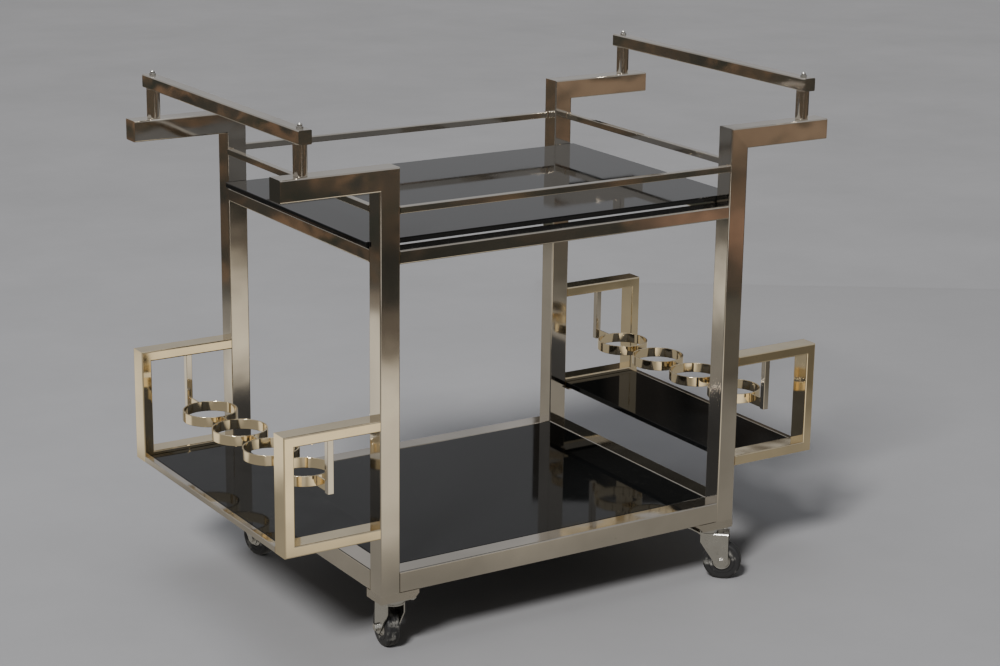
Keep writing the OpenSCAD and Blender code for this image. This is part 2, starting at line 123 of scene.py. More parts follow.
class CartStudio(bpy.types.PropertyGroup):
    lens: FloatProperty(name="Lens", description="Focal length in millimetres on a 36 mm sensor",
                        default=83.08, min=20, max=300)
    yaw: FloatProperty(name="Yaw", description="Turn of the camera from +Y towards +X",
                       default=math.radians(32.42), subtype="ANGLE", unit="ROTATION")
    pitch: FloatProperty(name="Pitch", description="Camera's tilt, negative downwards",
                         default=math.radians(-15.98), subtype="ANGLE", unit="ROTATION")
    roll: FloatProperty(name="Roll", description="Camera's roll",
                        default=math.radians(0.75), subtype="ANGLE", unit="ROTATION")
    camera_at: FloatVectorProperty(name="Camera at", description="Place of the camera",
                                   default=(-2.2836, -3.6754, 1.7182), size=3,
                                   subtype="XYZ", unit="LENGTH")
    key_strength: FloatProperty(name="Key", description="Strength of the soft key light",
                                default=3.15, min=0)
    fill_power: FloatProperty(name="Fill power", description="Power of the overhead soft box",
                              default=60.0, min=0)
    room_light: FloatProperty(name="Room light", description="Grey light from all round",
                              default=0.085, min=0)
    backdrop: FloatProperty(name="Backdrop", description="Brightness of the backdrop in the metal",
                            default=0.40, min=0)


def sizes():
    return bpy.context.scene.cart_sizes


def colours():
    return bpy.context.scene.cart_colours


def studio():
    return bpy.context.scene.cart_studio


# ---------------------------------------------------------------- modelling helpers

def deselect():
    if bpy.context.object and bpy.context.object.mode != "OBJECT":
        bpy.ops.object.mode_set(mode="OBJECT")
    bpy.ops.object.select_all(action="DESELECT")


def only(piece):
    deselect()
    piece.select_set(True)
    bpy.context.view_layer.objects.active = piece


def edit(piece):
    only(piece)
    bpy.ops.object.mode_set(mode="EDIT")


def leave_edit():
    bpy.ops.object.mode_set(mode="OBJECT")


def apply_place(piece):
    only(piece)
    bpy.ops.object.transform_apply(location=True, rotation=True, scale=True)


def place(piece, matrix):
    """Moves a piece's mesh by a matrix, leaving its object at the origin."""
    piece.matrix_world = matrix @ piece.matrix_world
    apply_place(piece)
    return piece


def smooth(piece, degrees=30):
    only(piece)
    bpy.ops.object.shade_smooth_by_angle(angle=math.radians(degrees), keep_sharp_edges=False)
    mod = piece.modifiers.new("Flat faces", "WEIGHTED_NORMAL")
    mod.keep_sharp = True
    bpy.ops.object.modifier_apply(modifier=mod.name)


def bevel(piece, width, segments=2, degrees=35):
    only(piece)
    mod = piece.modifiers.new("Edges", "BEVEL")
    mod.width = width
    mod.segments = segments
    mod.limit_method = "ANGLE"
    mod.angle_limit = math.radians(degrees)
    mod.harden_normals = False
    bpy.ops.object.modifier_apply(modifier=mod.name)


def tidy_mesh(piece):
    edit(piece)
    bpy.ops.mesh.select_all(action="SELECT")
    bpy.ops.mesh.remove_doubles(threshold=MERGE_DISTANCE)
    bpy.ops.mesh.normals_make_consistent(inside=False)
    leave_edit()


def turned(name, outline, segments=None, closed=False):
    """A piece turned about Z: its outline is a list of (radius, height), extruded ring by ring."""
    deselect()
    count = segments or sizes().segments
    radius, height = outline[0]
    bpy.ops.mesh.primitive_circle_add(vertices=count, radius=radius, location=(0, 0, height),
                                      fill_type="NOTHING" if closed else "NGON")
    piece = bpy.context.object
    piece.name = name
    apply_place(piece)
    edit(piece)
    bpy.ops.mesh.select_all(action="SELECT")
    steps = outline[1:] + ([outline[0]] if closed else [])
    for next_radius, next_height in steps:
        bpy.ops.mesh.extrude_region_move(
            TRANSFORM_OT_translate={"value": (0, 0, next_height - height)})
        if next_radius != radius:
            grow = next_radius / radius
            bpy.ops.transform.resize(value=(grow, grow, 1))
        radius, height = next_radius, next_height
    leave_edit()
    tidy_mesh(piece)
    return piece


def block(name, low, high):
    """A box from its lowest to its highest corner."""
    deselect()
    low, high = Vector(low), Vector(high)
    bpy.ops.mesh.primitive_cube_add(size=1, location=(low + high) / 2)
    piece = bpy.context.object
    piece.name = name
    piece.scale = high - low
    apply_place(piece)
    return piece


def joined(pieces, name):
    only(pieces[0])
    for piece in pieces[1:]:
        piece.select_set(True)
    bpy.ops.object.join()
    result = bpy.context.object
    result.name = name
    return result


def copy_of_node(node, name):
    """A free copy of a CAD node's mesh, merged into one clean surface."""
    source = frame["nodes"][node]
    piece = bpy.data.objects.new(name, source.data.copy())
    bpy.context.scene.collection.objects.link(piece)
    edit(piece)
    bpy.ops.mesh.select_all(action="SELECT")
    bpy.ops.mesh.remove_doubles(threshold=MERGE_DISTANCE)
    bpy.ops.mesh.dissolve_limited(angle_limit=math.radians(0.5))
    leave_edit()
    return piece


def finish_piece(piece, body, material, slot, *nodes):
    piece.data.materials.clear()
    piece.data.materials.append(material)
    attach(piece, body)
    if nodes:
        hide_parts(*nodes)
    return piece


def soften(node, name, body, material, slot, width):
    """Stands a copy with rounded edges in for a CAD node."""
    piece = copy_of_node(node, name)
    bevel(piece, width)
    smooth(piece)
    return finish_piece(piece, body, material, slot, node)


def dress(nodes, material):
    for node in nodes:
        data = frame["nodes"][node].data
        if not data.materials:
            data.materials.append(material)
        for i in range(len(data.materials)):
            data.materials[i] = material


def solid_boxes(node):
    """Lowest and highest corners of each solid in a node, found by its shared vertices."""
    mesh = frame["nodes"][node].data
    home = {}

    def find(v):
        while home.setdefault(v, v) != v:
            home[v] = home.get(home[v], home[v])
            v = home[v]
        return v

    key = [tuple(round(c, 5) for c in v.co) for v in mesh.vertices]
    for polygon in mesh.polygons:
        first = key[polygon.vertices[0]]
        for index in polygon.vertices[1:]:
            home[find(key[index])] = find(first)
    groups = {}
    for point in set(key):
        groups.setdefault(find(point), []).append(point)
    boxes = []
    for points in groups.values():
        low = Vector([min(p[i] for p in points) for i in range(3)])
        high = Vector([max(p[i] for p in points) for i in range(3)])
        boxes.append((low, high))
    boxes.sort(key=lambda b: tuple(round(c, 3) for c in b[0]))
    return boxes


# ---------------------------------------------------------------- materials

class Shader:
    """A material under construction, with short calls for its nodes."""

    def __init__(self, name):
        self.material = bpy.data.materials.new(name)
        self.material.use_nodes = True
        self.tree = self.material.node_tree
        self.shader = self.tree.nodes["Principled BSDF"]
        self.coords = self.add("ShaderNodeTexCoord")

    def add(self, kind, **values):
        node = self.tree.nodes.new(kind)
        for key, value in values.items():
            setattr(node, key, value)
        return node

    def link(self, out, into):
        self.tree.links.new(out, into)

    def set(self, **values):
        for key, value in values.items():
            self.shader.inputs[key.replace("_", " ")].default_value = value

    def noise(self, scale, stretch=(1, 1, 1), detail=4.0, roughness=0.55):
        mapping = self.add("ShaderNodeMapping")
        mapping.inputs["Scale"].default_value = stretch
        self.link(self.coords.outputs["Object"], mapping.inputs["Vector"])
        noise = self.add("ShaderNodeTexNoise")
        noise.inputs["Scale"].default_value = scale
        noise.inputs["Detail"].default_value = detail
        noise.inputs["Roughness"].default_value = roughness
        self.link(mapping.outputs["Vector"], noise.inputs["Vector"])
        return noise.outputs["Fac"]

    def ramp(self, value, low, high, start, end):
        """value from low..high remapped to start..end, clamped."""
        node = self.add("ShaderNodeMapRange")
        node.inputs["From Min"].default_value = low
        node.inputs["From Max"].default_value = high
        node.inputs["To Min"].default_value = start
        node.inputs["To Max"].default_value = end
        self.link(value, node.inputs["Value"])
        return node.outputs["Result"]

    def mix(self, factor, first, second):
        node = self.add("ShaderNodeMix", data_type="RGBA")
        self.link(factor, node.inputs["Factor"])
        for socket, value in ((node.inputs[6], first), (node.inputs[7], second)):
            if isinstance(value, bpy.types.NodeSocket):
                self.link(value, socket)
            else:
                socket.default_value = (*value, 1.0)
        return node.outputs[2]

    def math(self, operation, first, second):
        node = self.add("ShaderNodeMath", operation=operation)
        for socket, value in ((node.inputs[0], first), (node.inputs[1], second)):
            if isinstance(value, bpy.types.NodeSocket):
                self.link(value, socket)
            else:
                socket.default_value = value
        return node.outputs[0]

    def patch(self, centre, radii, softness):
        """1 inside an ellipse on the floor, 0 outside, with a soft edge."""
        mapping = self.add("ShaderNodeMapping", vector_type="TEXTURE")
        mapping.inputs["Location"].default_value = (*centre, 0)
        mapping.inputs["Scale"].default_value = (*radii, 1)
        self.link(self.coords.outputs["Object"], mapping.inputs["Vector"])
        reach = self.add("ShaderNodeVectorMath", operation="LENGTH")
        self.link(mapping.outputs["Vector"], reach.inputs[0])
        node = self.add("ShaderNodeMapRange", interpolation_type="SMOOTHSTEP")
        node.inputs["From Min"].default_value = 1.0
        node.inputs["From Max"].default_value = 1.0 - softness
        self.link(reach.outputs["Value"], node.inputs["Value"])
        return node.outputs["Result"]

    def bump(self, height, distance, strength=1.0, under=None):
        node = self.add("ShaderNodeBump")
        node.inputs["Distance"].default_value = distance
        node.inputs["Strength"].default_value = strength
        self.link(height, node.inputs["Height"])
        if under is not None:
            self.link(under, node.inputs["Normal"])
        self.link(node.outputs["Normal"], self.shader.inputs["Normal"])
        return node.outputs["Normal"]

    def into(self, value, socket):
        self.link(value, self.shader.inputs[socket])


def scaled(rgb, k):
    return tuple(min(1.0, c * k) for c in rgb)


def nickel(name, tint, roughness, wave=0.35):
    """Polished plate over hand-ground tube: soft waves, polishing haze, faint stains and dust."""
    m = Shader(name)
    m.set(Metallic=1.0)
    stain = m.noise(5.0, detail=3.0)
    freckle = m.noise(160.0, detail=5.0, roughness=0.7)
    base = m.mix(m.ramp(stain, 0.38, 0.66, 0.0, 1.0), tint, scaled(tint, 0.80))
    base = m.mix(m.ramp(freckle, 0.64, 0.78, 0.0, 0.6), base, scaled(tint, 0.42))
    m.into(base, "Base Color")
    haze = m.noise(11.0, detail=5.0, roughness=0.6)
    m.into(m.ramp(haze, 0.3, 0.7, roughness * 0.65, roughness * 1.5), "Roughness")
    waves = m.noise(13.0, detail=1.0, roughness=0.3)
    fine = m.noise(900.0, detail=2.0)
    under = m.bump(waves, wave * MM * 1.6)
    m.bump(fine, 0.004 * MM, under=under)
    return m.material


def black_glass(name, gloss):
    m = Shader(name)
    m.set(Metallic=0.0, IOR=1.52, Specular_IOR_Level=gloss)
    dust = m.noise(60.0, detail=6.0, roughness=0.7)
    veil = m.noise(4.0, detail=3.0)
    amount = m.math("MULTIPLY", m.ramp(dust, 0.58, 0.78, 0.0, 1.0),
                    m.ramp(veil, 0.4, 0.7, 0.05, 0.3))
    tint = tuple(colours().glass)
    m.into(m.mix(amount, tint, (0.09, 0.09, 0.085)), "Base Color")
    smear = m.noise(9.0, detail=4.0)
    m.into(m.ramp(smear, 0.35, 0.75, 0.025, 0.075), "Roughness")
    m.bump(m.noise(2.2, detail=0.5), 0.02 * MM)
    return m.material


def tyre_rubber():
    """Black rubber, scuffed grey where it has rolled."""
    m = Shader("tyre_rubber")
    m.set(Metallic=0.0, IOR=1.5)
    patch = m.noise(38.0, detail=5.0, roughness=0.65)
    grit = m.noise(420.0, detail=3.0, roughness=0.7)
    worn = m.math("MULTIPLY", m.ramp(patch, 0.55, 0.66, 0.0, 1.0),
                  m.ramp(grit, 0.35, 0.6, 0.25, 1.0))
    m.into(m.mix(worn, tuple(colours().rubber), tuple(colours().scuff)), "Base Color")
    m.into(m.ramp(worn, 0.0, 1.0, 0.55, 0.9), "Roughness")
    m.bump(grit, 0.12 * MM)
    return m.material


def plated_steel(name, roughness):
    m = Shader(name)
    m.set(Metallic=1.0)
    tint = tuple(colours().steel)
    spots = m.noise(90.0, detail=5.0, roughness=0.7)
    base = m.mix(m.ramp(spots, 0.60, 0.78, 0.0, 0.7), tint, (0.24, 0.21, 0.17))
    m.into(base, "Base Color")
    haze = m.noise(45.0, detail=4.0)
    m.into(m.ramp(haze, 0.3, 0.7, roughness * 0.7, roughness * 1.5), "Roughness")
    m.bump(m.noise(45.0, detail=1.0), 0.03 * MM)
    return m.material


def clear_bumper():
    m = Shader("clear_bumper")
    m.set(Metallic=0.0, IOR=1.46, Transmission_Weight=0.6)
    m.into(m.mix(m.ramp(m.noise(300.0), 0.3, 0.7, 0.0, 1.0),
                 (0.72, 0.74, 0.74), (0.62, 0.64, 0.63)), "Base Color")
    m.into(m.ramp(m.noise(80.0), 0.3, 0.7, 0.2, 0.35), "Roughness")
    return m.material


def ground_weld():
    """Weld bead, ground and plated over, darker and rougher than the tube."""
    m = Shader("ground_weld")
    m.set(Metallic=1.0)
    heat = m.noise(120.0, detail=4.0)
    m.into(m.mix(m.ramp(heat, 0.35, 0.65, 0.0, 1.0), (0.52, 0.44, 0.34), (0.25, 0.19, 0.14)),
           "Base Color")
    m.into(m.ramp(heat, 0.3, 0.7, 0.28, 0.5), "Roughness")
    m.bump(m.noise(500.0, detail=3.0), 0.15 * MM)
    return m.material


def floor_paint():
    m = Shader("floor_paint")
    m.set(Metallic=0.0)
    tint = tuple(colours().floor)
    cloud = m.noise(1.6, detail=6.0, roughness=0.6)
    speck = m.noise(55.0, detail=5.0, roughness=0.7)
    base = m.mix(m.ramp(cloud, 0.35, 0.7, 0.0, 1.0), tint, scaled(tint, 0.9))
    base = m.mix(m.ramp(speck, 0.68, 0.8, 0.0, 0.5), base, scaled(tint, 1.35))
    m.into(base, "Base Color")
    m.into(m.ramp(cloud, 0.3, 0.7, 0.55, 0.7), "Roughness")
    return m.material


FINISH = {}


def make_finishes():
    tint = tuple(colours().nickel)
    warm = tuple(colours().warm_nickel)
    FINISH["leg"] = nickel("leg_nickel", tint, 0.085, wave=0.5)
    FINISH["arm"] = nickel("arm_nickel", scaled(tint, 1.02), 0.06, wave=0.6)
    FINISH["rail"] = nickel("rail_nickel", tint, 0.07, wave=0.5)
    FINISH["loop"] = nickel("loop_nickel", warm, 0.075, wave=0.6)
    FINISH["ring"] = nickel("ring_nickel", warm, 0.05, wave=0.12)
    FINISH["bar"] = nickel("bar_nickel", tint, 0.06, wave=0.15)
    FINISH["post"] = nickel("post_nickel", scaled(tint, 1.1), 0.08, wave=0.05)
    FINISH["block"] = nickel("block_nickel", scaled(tint, 0.92), 0.22, wave=0.1)
    FINISH["caster"] = plated_steel("caster_steel", 0.2)
    FINISH["fastener"] = plated_steel("fastener_steel", 0.16)
    FINISH["tyre"] = tyre_rubber()
    FINISH["glass"] = black_glass("black_glass", 0.40)
    # the lower and end shelves get a copy of the black glass that reflects less than the top shelf
    FINISH["low_glass"] = black_glass("less_reflective_black_glass", 0.16)
    FINISH["pad"] = clear_bumper()
    FINISH["weld"] = ground_weld()


# ---------------------------------------------------------------- operators

class CART_OT_camera(bpy.types.Operator):
    """Sets the camera in front of the cart's left corner"""
    bl_idname = "cart.camera"
    bl_label = "Camera"

    def execute(self, context):
        s = studio()
        ahead = Vector((math.sin(s.yaw) * math.cos(s.pitch),
                        math.cos(s.yaw) * math.cos(s.pitch), math.sin(s.pitch)))
        right = Vector((math.cos(s.yaw), -math.sin(s.yaw), 0))
        up = right.cross(ahead)
        rolled_right = right * math.cos(s.roll) + up * math.sin(s.roll)
        rolled_up = up * math.cos(s.roll) - right * math.sin(s.roll)
        data = bpy.data.cameras.new("camera")
        data.lens = s.lens
        data.sensor_width = 36.0
        camera = bpy.data.objects.new("camera", data)
        context.scene.collection.objects.link(camera)
        turn = Matrix((rolled_right, rolled_up, -ahead)).transposed()
        camera.matrix_world = Matrix.Translation(s.camera_at) @ turn.to_4x4()
        context.scene.camera = camera
        return {"FINISHED"}


class CART_OT_tubes(bpy.types.Operator):
    """Gives the tubes and bars of the frame their nickel"""
    bl_idname = "cart.tubes"
    bl_label = "Frame tubes"

    def execute(self, context):
        dress([f"leg_{c}" for c in CORNERS], FINISH["leg"])
        dress([f"arm_{c}" for c in CORNERS], FINISH["arm"])
        dress([f"upper_rail_{s}" for s in SIDES], FINISH["rail"])
        dress([f"lower_rail_{s}" for s in SIDES], FINISH["rail"])
        dress([f"gallery_rail_{s}" for s in SIDES], FINISH["bar"])
        dress([f"loop_{c}" for c in CORNERS], FINISH["loop"])
        dress(["end_rods", "glass_ledges", "ring_posts"], FINISH["bar"])
        dress([f"handle_bar_{e}" for e in ENDS], FINISH["arm"])
        dress(["handle_studs"], FINISH["fastener"])
        return {"FINISHED"}


class CART_OT_end_caps(bpy.types.Operator):
    """Rounds the caps in the ends of the arms and handle bars"""
    bl_idname = "cart.end_caps"
    bl_label = "End caps"

    def execute(self, context):
        soften("tube_end_caps", "arm_and_handle_caps", "frame", FINISH["arm"], "arm_nickel",
               sizes().edge)
        return {"FINISHED"}


class CART_OT_glass(bpy.types.Operator):
    """Makes the four glass shelves with ground edges, and the bumpers under them"""
    bl_idname = "cart.glass"
    bl_label = "Glass shelves"

    def execute(self, context):
        width = sizes().glass_edge
        for shelf in ("top_glass", "bottom_glass", "end_glass_left", "end_glass_right"):
            low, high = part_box(shelf)
            piece = block(f"{shelf}_shelf", low, high)
            bevel(piece, width, segments=3)
            smooth(piece)
            glass = FINISH["glass" if shelf == "top_glass" else "low_glass"]
            finish_piece(piece, "frame", glass, "black_glass", shelf)
        soften("glass_pads", "glass_bumpers", "frame", FINISH["pad"], "clear_pad",
               PAD_ROUND)
        return {"FINISHED"}


class CART_OT_welds(bpy.types.Operator):
    """Lays ground weld beads where the thin bars and ledges meet the tubes"""
    bl_idname = "cart.welds"
    bl_label = "Weld beads"

    def execute(self, context):
        leg = sizes().weld_leg
        beads = []
        for side in SIDES:
            low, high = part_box(f"gallery_rail_{side}")
            along = 0 if side in ("front", "back") else 1
            for end, step in ((low, 1), (high, -1)):
                first, last = Vector(low), Vector(high)
                first[along] = min(end[along], end[along] + step * leg)
                last[along] = max(end[along], end[along] + step * leg)
                inward = -1 if side in ("back", "right") else 1
                grown = 1 - along
                proud = leg * RAIL_PROUD
                first.z -= proud
                last.z += proud
                if inward > 0:
                    last[grown] += proud
                else:
                    first[grown] -= proud
                beads.append(weld_bead(first, last))
        for low, high in solid_boxes("ring_posts"):
            proud = leg * POST_PROUD
            first = Vector((low.x - proud, low.y - proud, high.z - leg))
            beads.append(weld_bead(first, Vector((high.x + proud, high.y + proud, high.z))))
        for low, high in solid_boxes("ring_strips"):
            for y in (low.y, high.y):
                proud = leg * STRIP_PROUD
                first = Vector((low.x - proud, y - proud, low.z + proud))
                beads.append(weld_bead(first, Vector((high.x + proud, y + proud, high.z - proud))))
        welds = joined(beads, "ground_weld_beads")
        smooth(welds, 50)
        finish_piece(welds, "frame", FINISH["weld"], "bar_nickel")
        return {"FINISHED"}


def weld_bead(low, high):
    bead = block("bead", low, high)
    bevel(bead, min(high - low) * 0.45, 3)
    return bead


class CART_OT_rings(bpy.types.Operator):
    """Makes the bottle rings of rounded flat band, with the strips between them"""
    bl_idname = "cart.rings"
    bl_label = "Bottle rings"

    def execute(self, context):
        for end in ENDS:
            node = f"bottle_rings_{end}"
            rings = []
            for low, high in solid_boxes(node):
                outside = (high.x - low.x) / 2
                inside = outside - RING_BAND
                tall = high.z - low.z
                curve, mid = ROUND_OFF, ROUND_OFF * ARC
                outline = [
                    (inside, curve), (inside + mid, mid), (inside + curve, 0),
                    (outside - curve, 0), (outside - mid, mid), (outside, curve),
                    (outside, tall - curve), (outside - mid, tall - mid), (outside - curve, tall),
                    (inside + curve, tall), (inside + mid, tall - mid), (inside, tall - curve),
                ]
                ring = turned("ring", outline, segments=96, closed=True)
                centre = (low + high) / 2
                rings.append(place(ring, Matrix.Translation((centre.x, centre.y, low.z))))
            row = joined(rings, f"bottle_ring_row_{end}")
            smooth(row, 50)
            finish_piece(row, "frame", FINISH["ring"], "ring_nickel", node)
        soften("ring_strips", "bottle_ring_strips", "frame", FINISH["ring"], "ring_nickel",
               STRIP_ROUND)
        return {"FINISHED"}


class CART_OT_handles(bpy.types.Operator):
    """Turns the handle posts and the domed cap nuts over them"""
    bl_idname = "cart.handles"
    bl_label = "Handle posts and nuts"

    def execute(self, context):
        posts, nuts = [], []
        for low, high in solid_boxes("handle_posts"):
            radius = (high.x - low.x) / 2
            tall = high.z - low.z
            lip, mid = POST_LIP, POST_LIP * ARC
            outline = [
                (radius - 2 * lip, 0), (radius - lip, 0), (radius - mid, mid), (radius, lip),
                (radius, tall - lip), (radius - mid, tall - mid),
                (radius - lip, tall), (radius - 2 * lip, tall),
            ]
            post = turned("post", outline)
            centre = (low + high) / 2
            posts.append(place(post, Matrix.Translation((centre.x, centre.y, low.z))))
        for low, high in solid_boxes("cap_nuts"):
            centre = (low + high) / 2
            tall = high.z - low.z
            across = high.y - low.y
            nuts.append(cap_nut(across, tall, Vector((centre.x, centre.y, low.z))))
        row = joined(posts, "handle_post_set")
        smooth(row, 40)
        finish_piece(row, "frame", FINISH["post"], "post_nickel", "handle_posts")
        caps = joined(nuts, "domed_cap_nuts")
        smooth(caps, 35)
        finish_piece(caps, "frame", FINISH["fastener"], "fastener_steel", "cap_nuts")
        return {"FINISHED"}


def cap_nut(across, tall, foot):
    """A low chamfered hexagon, a neck and a slim dome over it."""
    flat = across / 2
    corner = flat / math.cos(math.radians(30))
    hexagon = turned("nut", [(corner * 0.86, 0), (corner * 0.86, tall * 0.36)], segments=6)
    bevel(hexagon, 0.5 * MM, 2)
    dome_r = flat * 0.68
    spring = tall * 0.58
    steps = 8
    outline = [(dome_r * 0.86, tall * 0.32), (dome_r * 0.86, tall * 0.40),
               (dome_r, tall * 0.44), (dome_r, spring)]
    for i in range(1, steps):
        a = math.radians(90 * i / steps)
        outline.append((dome_r * math.cos(a), spring + (tall - spring) * math.sin(a)))
    outline.append((dome_r * 0.02, tall))
    dome = turned("dome", outline, segments=48)
    nut = joined([hexagon, dome], "nut")
    return place(nut, Matrix.Translation(foot))


class CART_OT_casters(bpy.types.Operator):
    """Makes the caster blocks, plates, races, screws, forks, wheels and tyres"""
    bl_idname = "cart.casters"
    bl_label = "Casters"

    def execute(self, context):
        edge = sizes().edge
        soften("caster_blocks", "caster_block_set", "frame", FINISH["block"], "block_nickel",
               BLOCK_ROUND)
        soften("caster_plates", "caster_plate_set", "frame", FINISH["caster"], "caster_steel",
               edge)
        dress(["caster_screws"], FINISH["fastener"])
        for corner in CORNERS:
            swivel, wheel = f"swivel_{corner}", f"wheel_{corner}"
            soften(f"fork_{corner}", f"caster_fork_{corner}", swivel, FINISH["caster"],
                   "caster_steel", edge)
            soften(f"axle_{corner}", f"axle_bolt_{corner}", swivel, FINISH["fastener"],
                   "fastener_steel", edge)
            spin = wheel_place(corner)
            tyre = place(tyre_ring(corner), spin)
            smooth(tyre, 40)
            finish_piece(tyre, wheel, FINISH["tyre"], "caster_tyre", f"tyre_{corner}")
            core = place(hub(corner), spin)
            smooth(core, 30)
            finish_piece(core, wheel, FINISH["caster"], "caster_steel", f"wheel_core_{corner}")
        return {"FINISHED"}


def wheel_place(corner):
    """Where a wheel turned about Z goes: on its axle, at its joint."""
    joint = next(j for j in frame["joints"] if j["child"] == f"wheel_{corner}")
    along = Vector(joint["axis"]).normalized()
    turn = along.to_track_quat("Z", "Y").to_matrix().to_4x4()
    return Matrix.Translation(Vector(joint["pos_m"])) @ turn


def wheel_points(node, corner):
    """A wheel piece's vertices, as seen from its own axle."""
    inverse = wheel_place(corner).inverted()
    return [inverse @ v.co for v in frame["nodes"][node].data.vertices]


def node_radius_and_width(node, corner):
    """A wheel piece's outer radius and its width along the axle."""
    points = wheel_points(node, corner)
    radius = max(math.hypot(p.x, p.y) for p in points)
    return radius, max(p.z for p in points) * 2


def tyre_ring(corner):
    radius, width = node_radius_and_width(f"tyre_{corner}", corner)
    inside = node_core_radius(corner)
    half = width / 2
    groove = sizes().tread_groove
    outline = [(inside, -half + FOOT_CHAMFER), (inside + TYRE_FOOT, -half)]
    for out, deep in zip(SIDE_GROOVE, (0, groove, groove, 0)):
        outline.append((inside + out, -half + deep))
    for i in range(SHOULDER_STEPS + 1):
        a = math.radians(90 * i / SHOULDER_STEPS)
        outline.append((radius - TYRE_SHOULDER + TYRE_SHOULDER * math.sin(a),
                        -half + TYRE_SHOULDER - TYRE_SHOULDER * math.cos(a)))
    for across, deep in zip(TREAD_GROOVE, (0, groove, groove, 0)):
        outline.append((radius - deep, -half * across))
    mirrored = [(r, -z) for r, z in reversed(outline)]
    return turned(f"caster_tyre_{corner}", outline + mirrored, segments=96, closed=True)


def node_core_radius(corner):
    """The radius where the tyre sits on the wheel's core."""
    return min(math.hypot(p.x, p.y) for p in wheel_points(f"tyre_{corner}", corner))


def hub(corner):
    """Dished hub disc with a rolled rim and a raised hub round the axle."""
    rim = node_core_radius(corner)
    _, long = node_radius_and_width(f"wheel_core_{corner}", corner)
    half_hub = long / 2
    bore, hub_r, half_disc = HUB_BORE, HUB_RADIUS, DISC_HALF
    floor = half_disc - sizes().hub_dish
    side = [
        (bore, 0), (bore, half_hub - 0.4 * MM), (bore + 0.4 * MM, half_hub),
        (hub_r - 0.5 * MM, half_hub), (hub_r, half_hub - 0.5 * MM),
        (hub_r, floor + 0.6 * MM), (hub_r + 0.6 * MM, floor),
        (rim - 3.2 * MM, floor), (rim - 2.4 * MM, half_disc),
        (rim - 0.8 * MM, half_disc + 0.3 * MM), (rim, half_disc - 0.6 * MM),
    ]
    mirrored = [(r, -z) for r, z in reversed(side[1:])]
    return turned(f"caster_hub_{corner}", side + mirrored, segments=64, closed=True)


class CART_OT_stage(bpy.types.Operator):
    """Lays the pale floor, sets up the soft light, and the glowing sheets that paint the
    reflections in the metal
    """
    bl_idname = "cart.stage"
    bl_label = "Studio"

    def execute(self, context):
        deselect()
        bpy.ops.mesh.primitive_circle_add(vertices=128, radius=FLOOR_RADIUS, fill_type="NGON")
        ground = context.object
        ground.name = "studio_floor"
        ground.data.materials.append(floor_paint())
        ground.visible_glossy = False
        painted_room_reflection()
        painted_dark_reflection()
        surroundings()
        soft_sun("key", KEY_FROM, studio().key_strength, KEY_SPREAD, (1.0, 0.98, 0.95))
        soft_box("overhead", BOX_AT, BOX_SIZE, studio().fill_power, (0.95, 0.97, 1.0))
        return {"FINISHED"}


def painted_room_reflection():
    """Painted reflection: a glowing sheet under the floor that only glossy rays see, painting
    bright paper near and a dim room beyond.
    """
    deselect()
    bpy.ops.mesh.primitive_circle_add(vertices=128, radius=SHEET_RADIUS, fill_type="NGON",
                                      location=(0, 0, -SHEET_DROP))
    sheet = bpy.context.object
    sheet.name = "painted_room_reflection"
    sheet.data.materials.append(painted_room_reflection_glow())
    seen_by_gloss_only(sheet)


def seen_by_gloss_only(thing):
    thing.visible_camera = False
    thing.visible_diffuse = False
    thing.visible_shadow = False
    thing.visible_transmission = False


def painted_dark_reflection():
    """Painted reflection: a low dark sheet at the back right, glowing faintly, that only glossy
    rays see.
    """
    screen = block("painted_dark_reflection", (0, 0, 0), DARK_REFLECTION_SIZE)
    place(screen, Matrix.Translation(DARK_REFLECTION_AT) @ Matrix.Rotation(DARK_REFLECTION_TURN, 4, "Z"))
    m = Shader("painted_dark_reflection_glow")
    m.tree.nodes.remove(m.shader)
    glow = m.add("ShaderNodeEmission")
    # painted reflection: a dark sheet mottled with dim brown, seen only in the polish and glass
    painted_reflection_folds = m.ramp(m.noise(2.0, stretch=(2.5, 2.5, 0.2), detail=2.0), 0.45, 0.7, 0.0, 1.0)
    m.link(m.mix(painted_reflection_folds, (0.022, 0.022, 0.02), (0.10, 0.085, 0.07)), glow.inputs["Color"])
    m.link(glow.outputs["Emission"], m.tree.nodes["Material Output"].inputs["Surface"])
    screen.data.materials.append(m.material)
    seen_by_gloss_only(screen)


# Painted reflection: patches of painted light and shade on the glowing sheet, shown by the polish
# in place of the room. Centre and radii on the floor, softness of the edge, colour.
PAINTED_REFLECTION_PATCHES = (
    ((-0.1, 0.0), (2.75, 2.75), 0.22, (0.29, 0.275, 0.245)),      # grey floor round the cart
    ((0.05, -1.5), (0.95, 0.95), 0.6, (1.02, 0.93, 0.76)),        # pale paper in front
    ((-1.35, 1.15), (0.62, 0.75), 0.35, (0.90, 0.84, 0.72)),      # pale paper behind, left
    ((1.25, 1.3), (0.55, 0.65), 0.4, (0.62, 0.58, 0.50)),         # dimmer paper behind, right
    ((-1.2, -1.1), (0.5, 0.5), 0.5, (0.50, 0.47, 0.42)),          # soft light in front, left
    ((1.45, -1.5), (0.5, 0.7), 0.6, (0.13, 0.12, 0.10)),          # shade in front, right
    ((1.0, -2.1), (0.8, 0.42), 0.6, (0.15, 0.125, 0.10)),         # brown edge of the paper
    ((1.2, -2.65), (0.62, 0.62), 0.4, (0.045, 0.045, 0.04)),      # dark gap past the edge
    ((2.3, -2.55), (0.42, 0.75), 0.6, (0.32, 0.20, 0.14)),        # warm glow on the right
    ((-2.35, 3.2), (0.8, 0.5), 0.6, (0.05, 0.05, 0.045)),         # dark corner, far left
    ((-2.3, 2.4), (0.6, 0.4), 0.4, (0.04, 0.045, 0.04)),          # dark corner, left
    ((3.4, -3.9), (0.6, 0.6), 0.4, (0.29, 0.21, 0.15)),           # warm light, far right
    ((-0.6, -3.4), (0.9, 1.1), 0.5, (1.6, 1.55, 1.45)),           # bright window in front
)


